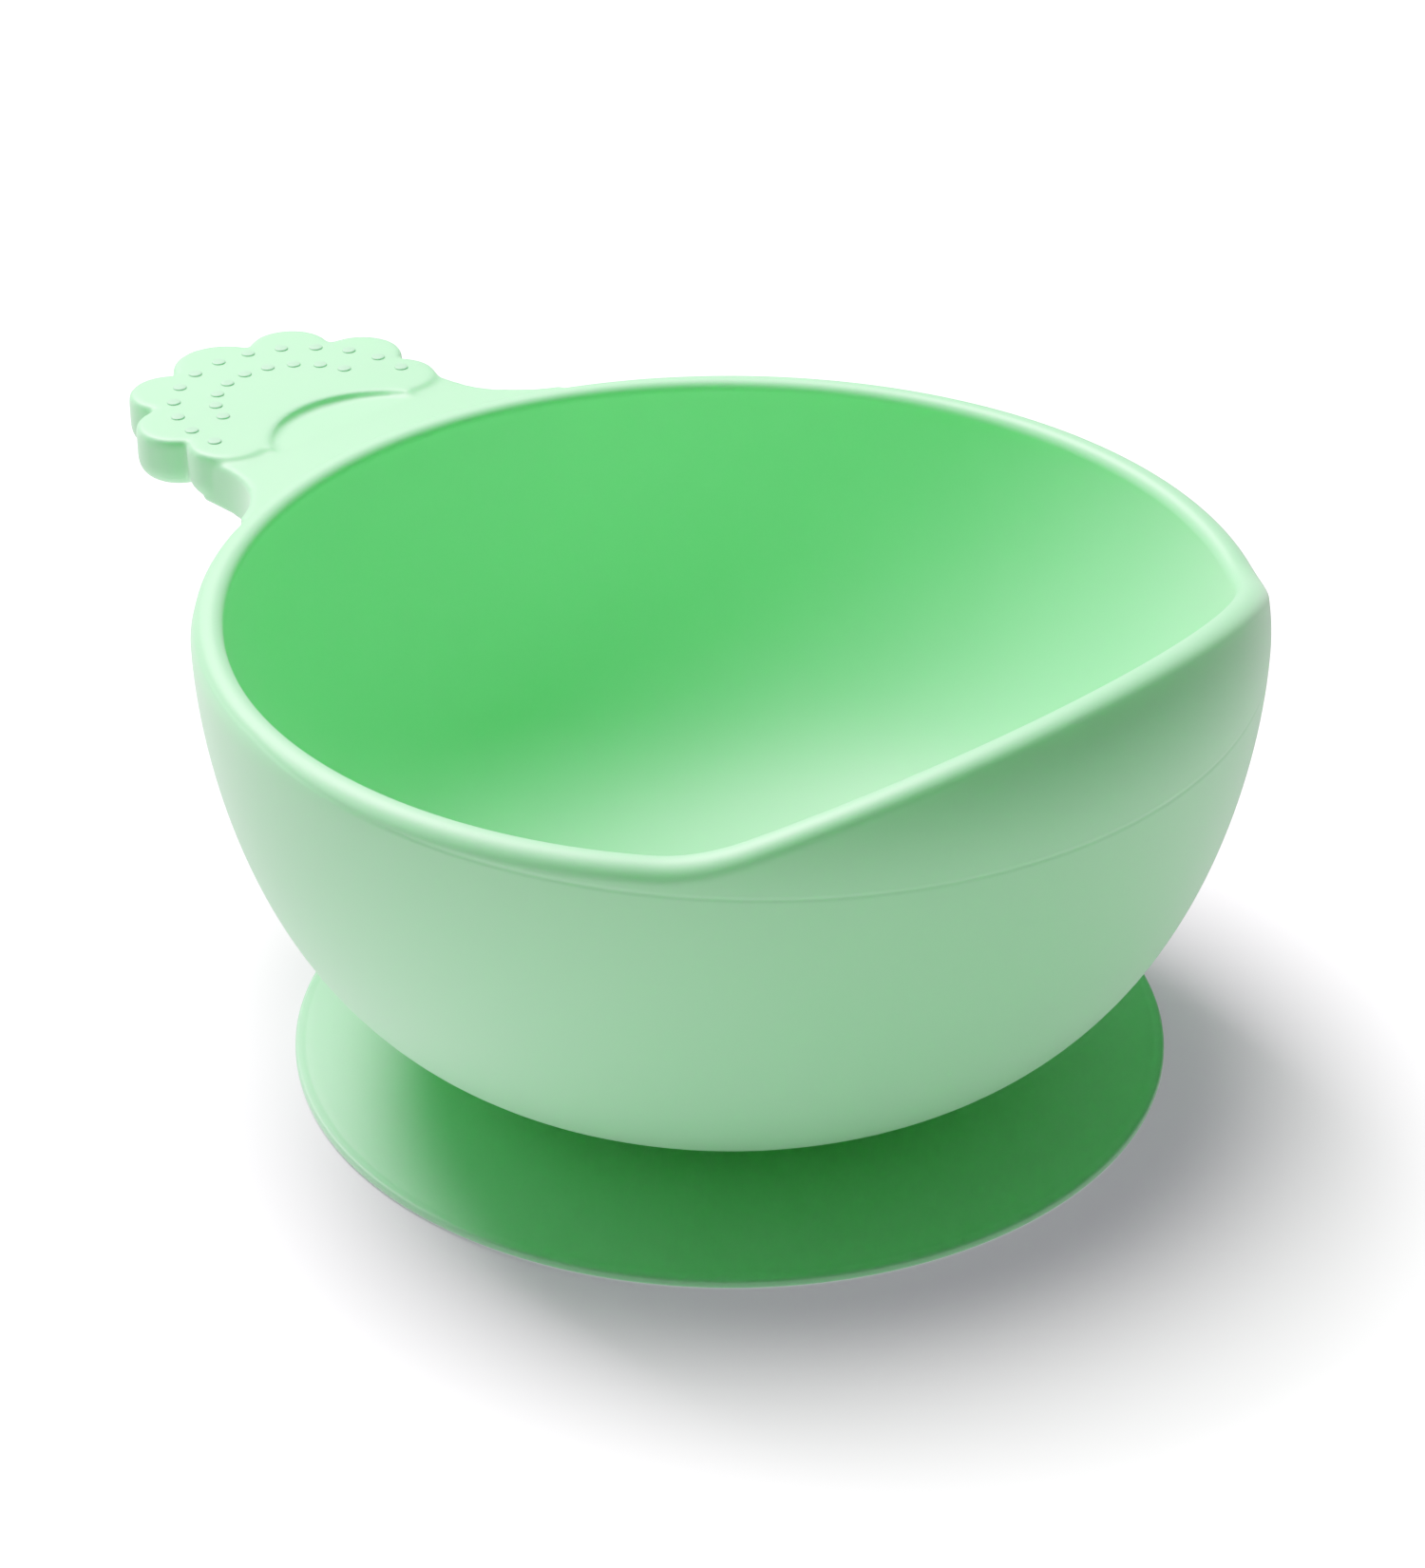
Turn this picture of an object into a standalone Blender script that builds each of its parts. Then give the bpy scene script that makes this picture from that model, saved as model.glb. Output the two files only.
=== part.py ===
"""Suction bowl for a small child: a soft bowl with a raised scoop lip and a scalloped handle.

The bowl stands on a wide suction cup. +X is the scoop side, the handle points along -X, +Z is up,
and the origin is on the table under the middle of the whole object. All sizes are in metres.
"""
import math

import bmesh
import bpy
from mathutils import Vector

# Bowl wall
BOWL_RADIUS = 0.0622        # outside radius at the widest level
RIM_HEIGHT = 0.0600         # top of the level rim above the table
WIDEST_BELOW_RIM = 0.0025   # the widest level lies this far under the rim's top
WALL = 0.0038               # wall thickness near the rim
FLOOR_THICKNESS = 0.0035    # thickness of the bowl's floor
FLOOR_FLAT = 0.0100         # radius of the flat middle of the floor
BELLY_POWER = 1.77          # how early the belly turns up from the underside
BELLY_ROOT = 3.87           # how square the belly is
BELLY_DROP = 0.0023         # the belly curve would bottom out this far below the underside
LIP_CURL = 0.0200           # radius, in side view, of the inward curl above the widest level

# Scoop lip
LIP_RISE = 0.0104           # top of the scoop lip above the level rim
LIP_DEPTH = 0.0226          # the lip starts to rise this far inside the wall's outermost point
LIP_BLEND = 0.0040          # half length of the soft bend where the lip starts

# Seam between the bowl and the rim moulding
SEAM_BELOW_RIM = 0.0022     # the seam lies this far under the level rim's top
SEAM_DROP = 0.0022          # how far the seam has fallen at the scoop side
SEAM_BLEND = 0.0150         # half length of the bend where the seam starts to fall

# Handle
HANDLE_THICKNESS = 0.0056   # neck and grip without the badge
HANDLE_BELOW_RIM = 0.0013   # the neck's top lies this far under the rim
NECK_HALF_WIDTH = 0.0178    # half width of the neck
NECK_FLARE = 0.0120         # radius with which the neck runs out into the wall
GRIP_FROM_WALL = 0.0141     # bowl wall to the middle of the grip
TIP_RADIUS = 0.0212         # middle of the grip to the tip of a scallop
END_TIP_RADIUS = 0.0199     # the same for the last scallop on each side, next to the neck
NOTCH_RADIUS = 0.0181       # middle of the grip to the notch between two scallops
MIDDLE_SCALLOP = 43.3       # angle that the outermost scallop takes up, degrees
SIDE_SCALLOP = 32.7         # angle that each of the other six takes up, degrees
SIDE_SCALLOPS = 3           # scallops on each side of the outermost one
HANDLE_EDGE = 0.0016        # rounding of the handle's lower edge

# Badge on the grip
BADGE_THICKNESS = 0.0009
BADGE_INSET = 0.0003        # badge edge to the grip's edge
BADGE_EDGE = 0.0004         # rounding of the badge's top edge
ARCH_BACK = 0.0192          # middle of the grip back to the middle of the badge's arch
ARCH_RADIUS = 0.0165        # radius of the arch
ARCH_SHOULDER = 0.0013      # from the last notch out to where the arch starts

# Suction cup and its stem
CUP_RADIUS = 0.0529         # suction cup on the table
CUP_EDGE = 0.0011           # thickness of the cup's edge
CUP_CONTACT = 0.0070        # width of the flat ring that touches the table
CUP_CROWN = 0.0046          # top of the cup's middle above the table
CUP_CHAMBER = 0.0026        # height of the hollow under the cup
STEM_SHOWING = 0.0019       # free height of the stem between the cup and the bowl
STEM_RADIUS = 0.0200        # stem between the cup and the bowl
STEM_WAIST = 0.0008         # how far the stem narrows between its two ends
SOCKET_DEPTH = 0.0012       # how deep the stem sits in the bowl's underside
SEAT_DEPTH = 0.0006         # how deep the stem sits in the cup

# Fits and fineness
FIT_GAP = 0.0003            # gap between two pieces that touch
STATIONS = 72               # steps once around the bowl

# Derived places
WIDEST_Z = RIM_HEIGHT - WIDEST_BELOW_RIM
UNDERSIDE_Z = CUP_CROWN + STEM_SHOWING
SEAM_Z = RIM_HEIGHT - SEAM_BELOW_RIM
LIP_HEIGHT = RIM_HEIGHT + LIP_RISE
LIP_START = BOWL_RADIUS - LIP_DEPTH
GRIP_CENTRE = BOWL_RADIUS + GRIP_FROM_WALL
ARCH_CENTRE = GRIP_CENTRE - ARCH_BACK
HANDLE_TIP = GRIP_CENTRE + TIP_RADIUS
AXIS_X = (HANDLE_TIP - BOWL_RADIUS) / 2
NECK_TOP = RIM_HEIGHT - HANDLE_BELOW_RIM
HANDLE_BOTTOM = NECK_TOP - HANDLE_THICKNESS


# ---------------------------------------------------------------- wall of the bowl

def outside_radius(z):
    """Outside radius of the bowl at a height."""
    if z >= WIDEST_Z:
        rise = min((z - WIDEST_Z) / LIP_CURL, 1.0)
        return BOWL_RADIUS - LIP_CURL * (1 - math.sqrt(1 - rise * rise))
    depth = (WIDEST_Z - z) / (WIDEST_Z - UNDERSIDE_Z + BELLY_DROP)
    return BOWL_RADIUS * (1 - depth ** BELLY_POWER) ** (1 / BELLY_ROOT)


def inside_radius(z):
    """Inside radius at a height, for the part of the bowl below its widest level."""
    floor_z = UNDERSIDE_Z + FLOOR_THICKNESS
    depth = min(max((WIDEST_Z - z) / (WIDEST_Z - floor_z), 0.0), 1.0)
    power = BELLY_POWER + 0.15
    return (BOWL_RADIUS - WALL) * (1 - depth ** power) ** (1 / (BELLY_ROOT - 0.7))


def lean(z):
    """Angle by which the upper wall leans inwards at a height."""
    return math.asin(min(max((z - WIDEST_Z) / LIP_CURL, 0.0), 0.95))


def wall_point(z, depth):
    """Radius and height of a point of the upper wall, at a depth below its outside."""
    angle = lean(z)
    return outside_radius(z) - depth * math.cos(angle), z - depth * math.sin(angle)


def soft_ramp(x, start, blend):
    """Zero before start and x - start after it, with a soft bend between the two."""
    if x <= start - blend:
        return 0.0
    if x >= start + blend:
        return x - start
    return (x - start + blend) ** 2 / (4 * blend)


def rim_top(x):
    """Height of the rim's top at a distance x from the bowl's axis towards the scoop side."""
    top_z = LIP_HEIGHT - WALL / 2
    reach = wall_point(top_z, WALL / 2)[0] - LIP_START
    return RIM_HEIGHT + (LIP_HEIGHT - RIM_HEIGHT) * soft_ramp(x, LIP_START, LIP_BLEND) / reach


def rim_shoulder(angle):
    """Height on the outside at which the rim's rounding starts, in a direction from the axis."""
    z = RIM_HEIGHT - WALL / 2
    for _ in range(12):
        radius = wall_point(z, WALL / 2)[0]
        top = rim_top(radius * math.cos(angle))
        z = top - WALL / 2 * (1 - math.sin(lean(z)))
    return z


def seam_height(angle):
    """Height of the seam in a direction from the axis."""
    x = BOWL_RADIUS * math.cos(angle)
    return SEAM_Z - SEAM_DROP * soft_ramp(x, 0.0, SEAM_BLEND) / BOWL_RADIUS


# ---------------------------------------------------------------- helpers

def silicone(name, colour, roughness=0.5):
    """A soft moulded silicone of one colour."""
    material = bpy.data.materials.new(name)
    material.use_nodes = True
    shader = material.node_tree.nodes["Principled BSDF"]
    shader.inputs["Base Color"].default_value = (*colour, 1)
    shader.inputs["Roughness"].default_value = roughness
    shader.inputs["Metallic"].default_value = 0
    return material


def finish(name, shape, material, smooth_angle=35):
    """Turn a bmesh into a named object with outward faces and its own material."""
    bmesh.ops.recalc_face_normals(shape, faces=shape.faces)
    mesh = bpy.data.meshes.new(name)
    shape.to_mesh(mesh)
    shape.free()
    mesh.shade_smooth()
    mesh.set_sharp_from_angle(angle=math.radians(smooth_angle))
    item = bpy.data.objects.new(name, mesh)
    item.data.materials.append(material)
    bpy.context.collection.objects.link(item)
    return item


def turned(section, closed):
    """Spin a section, given as a function of a direction, once around the bowl's axis.

    The section lists (radius, height) pairs and has the same number in every direction. An open
    section starts and ends on the axis.
    """
    shape = bmesh.new()
    row = shape.verts.layers.int.new("row")
    first = section(0.0)
    points = [shape.verts.new((index + 1, 0, 0)) for index in range(len(first))]
    for index, point in enumerate(points):
        point[row] = index
    pairs = list(zip(points, points[1:]))
    if closed:
        pairs.append((points[-1], points[0]))
    edges = [shape.edges.new(pair) for pair in pairs]
    bmesh.ops.spin(shape, geom=points + edges, cent=(0, 0, 0), axis=(0, 0, 1), dvec=(0, 0, 0),
                   angle=math.tau, steps=STATIONS, use_merge=True)
    sections = {}
    for point in shape.verts:
        angle = math.atan2(point.co.y, point.co.x)
        station = round(angle / math.tau * STATIONS) % STATIONS
        if station not in sections:
            sections[station] = section(station * math.tau / STATIONS)
        radius, z = sections[station][point[row]]
        turn = station * math.tau / STATIONS
        point.co = (AXIS_X + radius * math.cos(turn), radius * math.sin(turn), z)
    bmesh.ops.remove_doubles(shape, verts=shape.verts, dist=0.000001)
    return shape


def even_steps(low, high, count):
    """Evenly spaced values from low to high, both included."""
    return [low + (high - low) * step / count for step in range(count + 1)]


def arc_between(start, end, height, count):
    """Points along an arc from start to end that bulges by height to the right of the way."""
    chord = end - start
    middle = (start + end) / 2
    side = Vector((chord.y, -chord.x)).normalized()
    radius = ((chord.length / 2) ** 2 + height ** 2) / (2 * height)
    centre = middle + side * (height - radius)
    first = math.atan2(start.y - centre.y, start.x - centre.x)
    sweep = 2 * math.asin(min(chord.length / 2 / radius, 1.0))
    if height > radius:
        sweep = math.tau - sweep
    return [centre + radius * Vector((math.cos(first + sweep * step / count),
                                      math.sin(first + sweep * step / count)))
            for step in range(count)]


def plate(outline, bottom, top, lower_edge, upper_edge):
    """A flat plate from a plan outline, with rounded lower and upper edges."""
    shape = bmesh.new()
    face = shape.faces.new([shape.verts.new((AXIS_X - p.x, p.y, bottom)) for p in outline])
    raised = bmesh.ops.extrude_face_region(shape, geom=[face])
    bmesh.ops.translate(shape, vec=(0, 0, top - bottom),
                        verts=[v for v in raised["geom"] if isinstance(v, bmesh.types.BMVert)])
    bmesh.ops.recalc_face_normals(shape, faces=shape.faces)
    middle = (bottom + top) / 2
    for low_side, width in ((True, lower_edge), (False, upper_edge)):
        if width <= 0:
            continue
        rim = [e for e in shape.edges
               if all((v.co.z < middle) == low_side for v in e.verts) and e.is_manifold
               and abs(e.verts[0].co.z - (bottom if low_side else top)) < 0.000001
               and abs(e.verts[1].co.z - (bottom if low_side else top)) < 0.000001]
        bmesh.ops.bevel(shape, geom=rim, offset=width, segments=3, profile=0.5, affect='EDGES',
                        clamp_overlap=True)
    return shape


# ---------------------------------------------------------------- bowl and rim

def bowl_section(angle):
    """Half section of the bowl below the seam, from the underside's middle to the floor's."""
    seam = seam_height(angle)
    socket = STEM_RADIUS + FIT_GAP
    flat = outside_radius(UNDERSIDE_Z)
    points = [(0, UNDERSIDE_Z + SOCKET_DEPTH), (socket, UNDERSIDE_Z + SOCKET_DEPTH)]
    points += [(socket, UNDERSIDE_Z), (flat * 0.97, UNDERSIDE_Z)]
    foot = UNDERSIDE_Z + 0.0004
    outer = [foot + (WIDEST_Z - 0.004 - foot) * step ** 1.6 for step in even_steps(0, 1, 13)]
    points += [(outside_radius(z), z) for z in outer]
    points += [(outside_radius(seam), seam), (wall_point(seam, WALL)[0], seam)]
    floor = UNDERSIDE_Z + FLOOR_THICKNESS
    inner = [floor + (WIDEST_Z - 0.004 - floor) * (1 - step) ** 2 for step in even_steps(0, 1, 14)]
    points += [(inside_radius(z), z) for z in inner[:-1]]
    points += [(FLOOR_FLAT, floor), (0, floor)]
    return points


def rim_section(angle):
    """Closed section of the rim moulding above the seam, with its rounded top."""
    low = seam_height(angle) + FIT_GAP
    shoulder = max(rim_shoulder(angle), low + 0.0002)
    outer = [wall_point(low + (shoulder - low) * step, 0) for step in (0, 0.34, 0.67)]
    tilt = lean(shoulder)
    centre = wall_point(shoulder, WALL / 2)
    rounding = []
    for turn in even_steps(0, math.pi, 8):
        out = WALL / 2 * math.cos(turn)
        up = WALL / 2 * math.sin(turn)
        rounding.append((centre[0] + out * math.cos(tilt) - up * math.sin(tilt),
                         centre[1] + out * math.sin(tilt) + up * math.cos(tilt)))
    end = rounding[-1]
    foot = (wall_point(low, WALL)[0], low)
    inner = []
    for step in (0.33, 0.66):
        level = shoulder + (low - shoulder) * step
        radius, z = wall_point(level, WALL)
        inner.append((radius, end[1] + (foot[1] - end[1]) * step))
    return outer + rounding + inner + [foot]


def bowl_body():
    shape = turned(bowl_section, closed=False)
    return finish("bowl_body", shape, silicone("Bowl silicone", (0.42, 0.80, 0.50)))


def scoop_rim():
    shape = turned(rim_section, closed=True)
    return finish("scoop_rim", shape, silicone("Rim silicone", (0.46, 0.83, 0.53)))


# ---------------------------------------------------------------- handle and badge

def scallop_points(inset):
    """Outline of the scallops, from one neck notch round the tip to the other."""
    half = MIDDLE_SCALLOP / 2 + SIDE_SCALLOP * SIDE_SCALLOPS
    edges = [-half + SIDE_SCALLOP * k for k in range(SIDE_SCALLOPS + 1)]
    edges += [-angle for angle in reversed(edges)]
    notches = []
    for angle in edges:
        reach = NOTCH_RADIUS - inset
        notches.append(Vector((GRIP_CENTRE + reach * math.cos(math.radians(angle)),
                               reach * math.sin(math.radians(angle)))))
    points = []
    for first, last, low, high in zip(notches, notches[1:], edges, edges[1:]):
        flat = (NOTCH_RADIUS - inset) * math.cos(math.radians(high - low) / 2)
        tip = END_TIP_RADIUS if low == edges[0] or high == edges[-1] else TIP_RADIUS
        points += arc_between(first, last, tip - inset - flat, 8)
    return points + [notches[-1]]


def handle_outline():
    """Plan outline of the neck and the grip; x is measured outwards from the bowl's axis."""
    centre_v = NECK_HALF_WIDTH + NECK_FLARE
    centre_u = math.sqrt((BOWL_RADIUS + NECK_FLARE) ** 2 - centre_v ** 2)
    touch = math.atan2(centre_v, centre_u)
    flare = []
    for step in even_steps(0, 1, 8):
        turn = -math.pi / 2 - step * (math.pi / 2 - touch)
        flare.append(Vector((centre_u + NECK_FLARE * math.cos(turn),
                             centre_v + NECK_FLARE * math.sin(turn))))
    inner = BOWL_RADIUS - WALL
    tail = Vector((inner * math.cos(touch), inner * math.sin(touch)))
    side = flare + [tail]
    scallops = scallop_points(0)
    side = [p for p in side if p.x < scallops[-1].x]
    mirrored = [Vector((p.x, -p.y)) for p in reversed(side)]
    return scallops + side + mirrored


def wall_cutter():
    """The bowl's outside with its rounded rim, grown by the fit gap."""
    def section(angle):
        shoulder = rim_shoulder(math.pi)
        levels = even_steps(HANDLE_BOTTOM - 0.006, shoulder, 6)
        points = [(0, levels[0])] + [(outside_radius(z) + FIT_GAP, z) for z in levels]
        centre = wall_point(shoulder, WALL / 2)
        reach = WALL / 2 + FIT_GAP
        for turn in even_steps(0.2, math.pi / 2, 4):
            points.append((centre[0] + reach * math.cos(turn), centre[1] + reach * math.sin(turn)))
        return points + [(0, centre[1] + reach)]
    cutter = finish("wall_cutter", turned(section, closed=False), silicone("Cutter", (1, 1, 1)))
    cutter.hide_render = True
    cutter.display_type = 'WIRE'
    return cutter


def handle():
    shape = plate(handle_outline(), HANDLE_BOTTOM, NECK_TOP, HANDLE_EDGE, HANDLE_EDGE / 4)
    item = finish("handle", shape, silicone("Handle silicone", (0.46, 0.83, 0.53)))
    cut = item.modifiers.new("Bowl wall", 'BOOLEAN')
    cut.operation = 'DIFFERENCE'
    cut.solver = 'EXACT'
    cut.object = wall_cutter()
    return item


def badge_outline():
    """Outline of the badge: the scallops, closed by an arch towards the bowl."""
    scallops = scallop_points(BADGE_INSET)
    corner = scallops[-1].x + ARCH_SHOULDER
    arch = []
    start = math.acos(min(max((corner - ARCH_CENTRE) / ARCH_RADIUS, -1.0), 1.0))
    for turn in even_steps(start, -start, 12):
        arch.append(Vector((ARCH_CENTRE + ARCH_RADIUS * math.cos(turn),
                            ARCH_RADIUS * math.sin(turn))))
    return scallops + arch


def handle_badge():
    low = NECK_TOP + FIT_GAP
    shape = plate(badge_outline(), low, low + BADGE_THICKNESS, 0, BADGE_EDGE)
    return finish("handle_badge", shape, silicone("Badge silicone", (0.48, 0.84, 0.55)))


# ---------------------------------------------------------------- suction cup and stem

def cup_section(angle):
    """Half section of the suction cup, from the hollow's middle round the edge to the top's."""
    contact = CUP_RADIUS - CUP_CONTACT
    seat = STEM_RADIUS + FIT_GAP
    points = [(0, CUP_CHAMBER), (STEM_RADIUS * 0.6, CUP_CHAMBER)]
    for step in even_steps(0.2, 1, 5):
        radius = STEM_RADIUS * 0.6 + (contact - STEM_RADIUS * 0.6) * step
        points.append((radius, CUP_CHAMBER * (1 - step ** 1.7)))
    points += [(CUP_RADIUS - 0.0004, 0), (CUP_RADIUS, 0.0003), (CUP_RADIUS, CUP_EDGE - 0.0003)]
    points += [(CUP_RADIUS - 0.0003, CUP_EDGE)]
    for step in even_steps(0.05, 1, 7):
        radius = CUP_RADIUS + (seat - CUP_RADIUS) * step
        points.append((radius, CUP_EDGE + (CUP_CROWN - CUP_EDGE) * step ** 1.25))
    points += [(seat, CUP_CROWN - SEAT_DEPTH), (0, CUP_CROWN - SEAT_DEPTH)]
    return points


def suction_cup():
    shape = turned(cup_section, closed=False)
    return finish("suction_cup", shape, silicone("Cup silicone", (0.40, 0.80, 0.48)))


def stem_section(angle):
    """Half section of the stem, seated in the cup below and in the bowl above."""
    low = CUP_CROWN - SEAT_DEPTH + FIT_GAP
    high = UNDERSIDE_Z + SOCKET_DEPTH - FIT_GAP
    middle = (CUP_CROWN + UNDERSIDE_Z) / 2
    waist = STEM_RADIUS - STEM_WAIST
    return [(0, low), (STEM_RADIUS, low), (STEM_RADIUS, CUP_CROWN + 0.0002), (waist, middle),
            (STEM_RADIUS, UNDERSIDE_Z - 0.0002), (STEM_RADIUS, high), (0, high)]


def base_stem():
    shape = turned(stem_section, closed=False)
    return finish("base_stem", shape, silicone("Stem silicone", (0.40, 0.80, 0.48)))


# ---------------------------------------------------------------- the whole object

def build():
    for old in list(bpy.data.objects):
        bpy.data.objects.remove(old, do_unlink=True)
    suction_cup()
    base_stem()
    bowl_body()
    scoop_rim()
    handle()
    handle_badge()


build()
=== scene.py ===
"""A suction bowl for a small child, moulded in soft mint silicone.

One moulding makes the bowl, its rim with the raised scoop lip, and the scalloped handle. A short
stem carries it on a wide suction cup, which flattens when the bowl is pressed down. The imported
model gives the places, in metres, with +X towards the scoop lip and the handle along -X.
"""
import math

import bpy
import numpy as np
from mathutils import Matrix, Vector


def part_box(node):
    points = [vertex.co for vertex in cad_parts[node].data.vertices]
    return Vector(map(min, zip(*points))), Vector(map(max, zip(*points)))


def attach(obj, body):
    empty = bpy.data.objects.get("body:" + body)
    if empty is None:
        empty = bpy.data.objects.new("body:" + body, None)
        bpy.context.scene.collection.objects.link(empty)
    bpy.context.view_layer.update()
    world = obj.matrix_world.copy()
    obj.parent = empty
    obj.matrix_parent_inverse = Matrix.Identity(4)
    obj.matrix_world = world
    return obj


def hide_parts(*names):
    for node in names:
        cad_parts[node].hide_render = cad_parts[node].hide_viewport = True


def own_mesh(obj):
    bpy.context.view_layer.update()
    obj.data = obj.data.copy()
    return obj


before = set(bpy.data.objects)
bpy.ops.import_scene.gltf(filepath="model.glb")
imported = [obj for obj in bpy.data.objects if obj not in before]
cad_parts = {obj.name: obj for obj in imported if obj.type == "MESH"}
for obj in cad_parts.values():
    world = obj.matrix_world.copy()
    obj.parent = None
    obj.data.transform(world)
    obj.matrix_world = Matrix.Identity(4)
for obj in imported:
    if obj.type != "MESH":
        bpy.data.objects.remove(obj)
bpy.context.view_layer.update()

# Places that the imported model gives
body_low, body_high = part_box("bowl_body")
rim_low, rim_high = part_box("scoop_rim")
cup_low, cup_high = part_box("suction_cup")
stem_low, stem_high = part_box("base_stem")
handle_low, handle_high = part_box("handle")
badge_low, badge_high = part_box("handle_badge")
AXIS_X = (cup_low.x + cup_high.x) / 2
BOWL_RADIUS = (body_high.y - body_low.y) / 2
UNDERSIDE_Z = body_low.z
LIP_HEIGHT = rim_high.z
CUP_RADIUS = (cup_high.x - cup_low.x) / 2
CUP_CROWN = cup_high.z
STEM_RADIUS = (stem_high.x - stem_low.x) / 2
NECK_TOP = handle_high.z
HANDLE_BOTTOM = handle_low.z
HANDLE_TIP = AXIS_X - handle_low.x
BADGE_TOP = badge_high.z

# Bowl wall
RIM_HEIGHT = NECK_TOP + 0.0013      # top of the level rim
WIDEST_Z = RIM_HEIGHT - 0.0025      # level at which the bowl is widest
WALL = 0.0038                       # wall thickness near the rim
FLOOR_Z = UNDERSIDE_Z + 0.0035      # inside of the bowl's floor
BELLY_POWER = 1.77                  # how early the belly turns up from the underside
BELLY_ROOT = 3.87                   # how square the belly is
BELLY_DROP = 0.0023                 # the belly curve would bottom out this far below the underside
INSIDE_POWER = BELLY_POWER + 0.15   # the same two for the inside, which is a little rounder
INSIDE_ROOT = BELLY_ROOT - 0.7
LIP_CURL = 0.0200                   # radius, in side view, of the inward curl above the widest level
LIP_START = BOWL_RADIUS - 0.0226    # distance from the axis at which the lip starts to rise
LIP_BLEND = 0.0040                  # half length of the soft bend where the lip starts
RIM_OUTER_FALL = 0.0022             # height of the soft rounding on the rim's outer edge
RIM_INNER_ROUND = 0.0014            # radius of the tighter rounding on its inner edge
SOCKET_DEPTH = 0.0012               # how deep the stem sits in the underside
SOCKET_GAP = 0.0003                 # clearance around the stem
SOFT_EDGE = 0.0004                  # rounding of the socket's mouth and of the cup's edge
STEEPEST = 0.95                     # sine of the steepest inward lean that the wall may take

# Mould parting line, which runs around the outside on a plane that falls towards the scoop lip
PARTING_Z = 0.0587                  # its height beside the bowl's axis
PARTING_FALL = 0.0474               # fall for each unit of length towards the lip
PARTING_TOP = 0.0594                # highest level, on the rim's rounding next to the handle
PARTING_DEPTH = 0.00007             # depth of the fine groove
PARTING_HALF = 0.00018              # half width of the groove
PARTING_STOP = 32                   # degrees from the handle's middle at which the groove ends
PARTING_FADE = 10                   # degrees over which it dies out before that

# Handle
GRIP_CENTRE = BOWL_RADIUS + 0.0141  # bowl axis to the middle of the grip
GRIP_CORE = 0.0146                  # radius of the disc that fills the grip's middle
END_SCALLOP = (102.2, 0.0142, 0.0052)
SCALLOPS = (                        # direction on each side of the middle, reach, radius
    (36.7, 0.0165, 0.0053), (70.8, 0.0159, 0.0054), END_SCALLOP)
MIDDLE_SCALLOP = 0.0064             # radius of the outermost scallop
FLARE_RADIUS = 0.0140               # radius with which the neck runs out into the wall
ARCH_CENTRE = GRIP_CENTRE - 0.0154  # bowl axis to the middle of the arch cut into the badge
ARCH_RADIUS = 0.0134
LOWER_ROUND = 0.0025                # rounding of the handle's lower edge
UPPER_ROUND = 0.0005                # rounding of its upper edge
NECK_ROOT = 0.0120                  # how far the neck block reaches in past the wall
NECK_EXTRA = 0.0002                 # and how far it runs past the middle of the flares
THROAT_HALF = END_SCALLOP[1] + 0.0044  # half width of the neck beside the last scallops
BRIDGE_HALF = GRIP_CORE - 0.0010    # half width of the neck under the grip
SLOPE_END = GRIP_CENTRE - 0.0020    # the neck's top has come down to the grip's level here
OVERLAP = 0.0020                    # how far one block or cutter runs past the next
JOINT_REACH = 0.0016                # the joint is softened this near to the wall,
JOINT_TOP = 0.0012                  # this near to the rim's top level
JOINT_INSIDE = 0.0030               # from this far inside the widest radius,
JOINT_SPAN = 0.88                   # and from this share of the radius towards the handle

# Grip pips on the badge
PIP_ROWS = (                        # count, distance from the grip's middle, spread in degrees
    (13, 0.0156, 196), (9, 0.0104, 150))
PIP_RADIUS = 0.0009
PIP_HEIGHT = 0.0002                 # how far a pip stands up from the badge
PIP_ROUND = 0.00019                 # rounding of its top edge

# Suction cup and stem
CUP_EDGE = 0.0011                   # thickness of the cup's edge
CUP_CONTACT = 0.0070                # width of the flat ring that grips the table
CUP_CHAMBER = 0.0026                # height of the hollow under the cup
CUP_BAND = 0.0012                   # width of the band along the cup's edge
BAND_GROOVE = 0.00003               # depth of the fine line inside the band
BAND_HALF = 0.0002                  # half width of that line
CHAMBER_FLAT = 0.6                  # flat middle of the hollow, as a share of the stem's radius
CHAMBER_SWEEP = 1.7                 # how late the hollow comes down to the ring
CUP_SWEEP = 1.25                    # how hollow the cup's upper side is
CROWN_LAND = 0.0006                 # the upper side ends this far outside the stem's seat
CROWN_ROUND = 0.0003                # rounding of the seat's mouth
SEAT_DEPTH = 0.0006                 # how deep the stem sits in the cup
STEM_WAIST = 0.0008                 # how far the stem narrows between its two ends

# Fineness
BOWL_STATIONS = 400
CUP_STATIONS = 240
SKIN_SIZE = 0.00034                 # voxel size of the handle's skin
BELLY_POINTS = 90                   # points of the fine outer path: on the belly,
UPPER_POINTS = 30                   # on the upper wall,
OUTER_EDGE_POINTS = 50              # on the rim's outer edge,
INNER_EDGE_POINTS = 20              # on its inner edge
SHOULDER_POINTS = 10                # and down from there
BELOW_GROOVE = 44                   # points of the final section: below the parting groove,
ABOVE_GROOVE = 54                   # above it,
INNER_WALL_POINTS = 8               # down the inside of the upper wall
INSIDE_POINTS = 46                  # and from there to the floor's middle
BELLY_CROWDING = 1.6                # power by which the belly's points crowd towards the foot
INSIDE_CROWDING = 1.7               # and the inside's towards the floor's middle
SOLE_POINTS = (0.90, 0.97)          # points on the underside, as shares of its flat radius
GROOVE_CLEAR = 3                    # no other point is within this many half widths of the groove
CHAMBER_POINTS = 16
CUP_POINTS = 28
STEM_POINTS = 12
SETTLE_ROUNDS = 12                  # rounds in which the rim's shoulder finds its height
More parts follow.
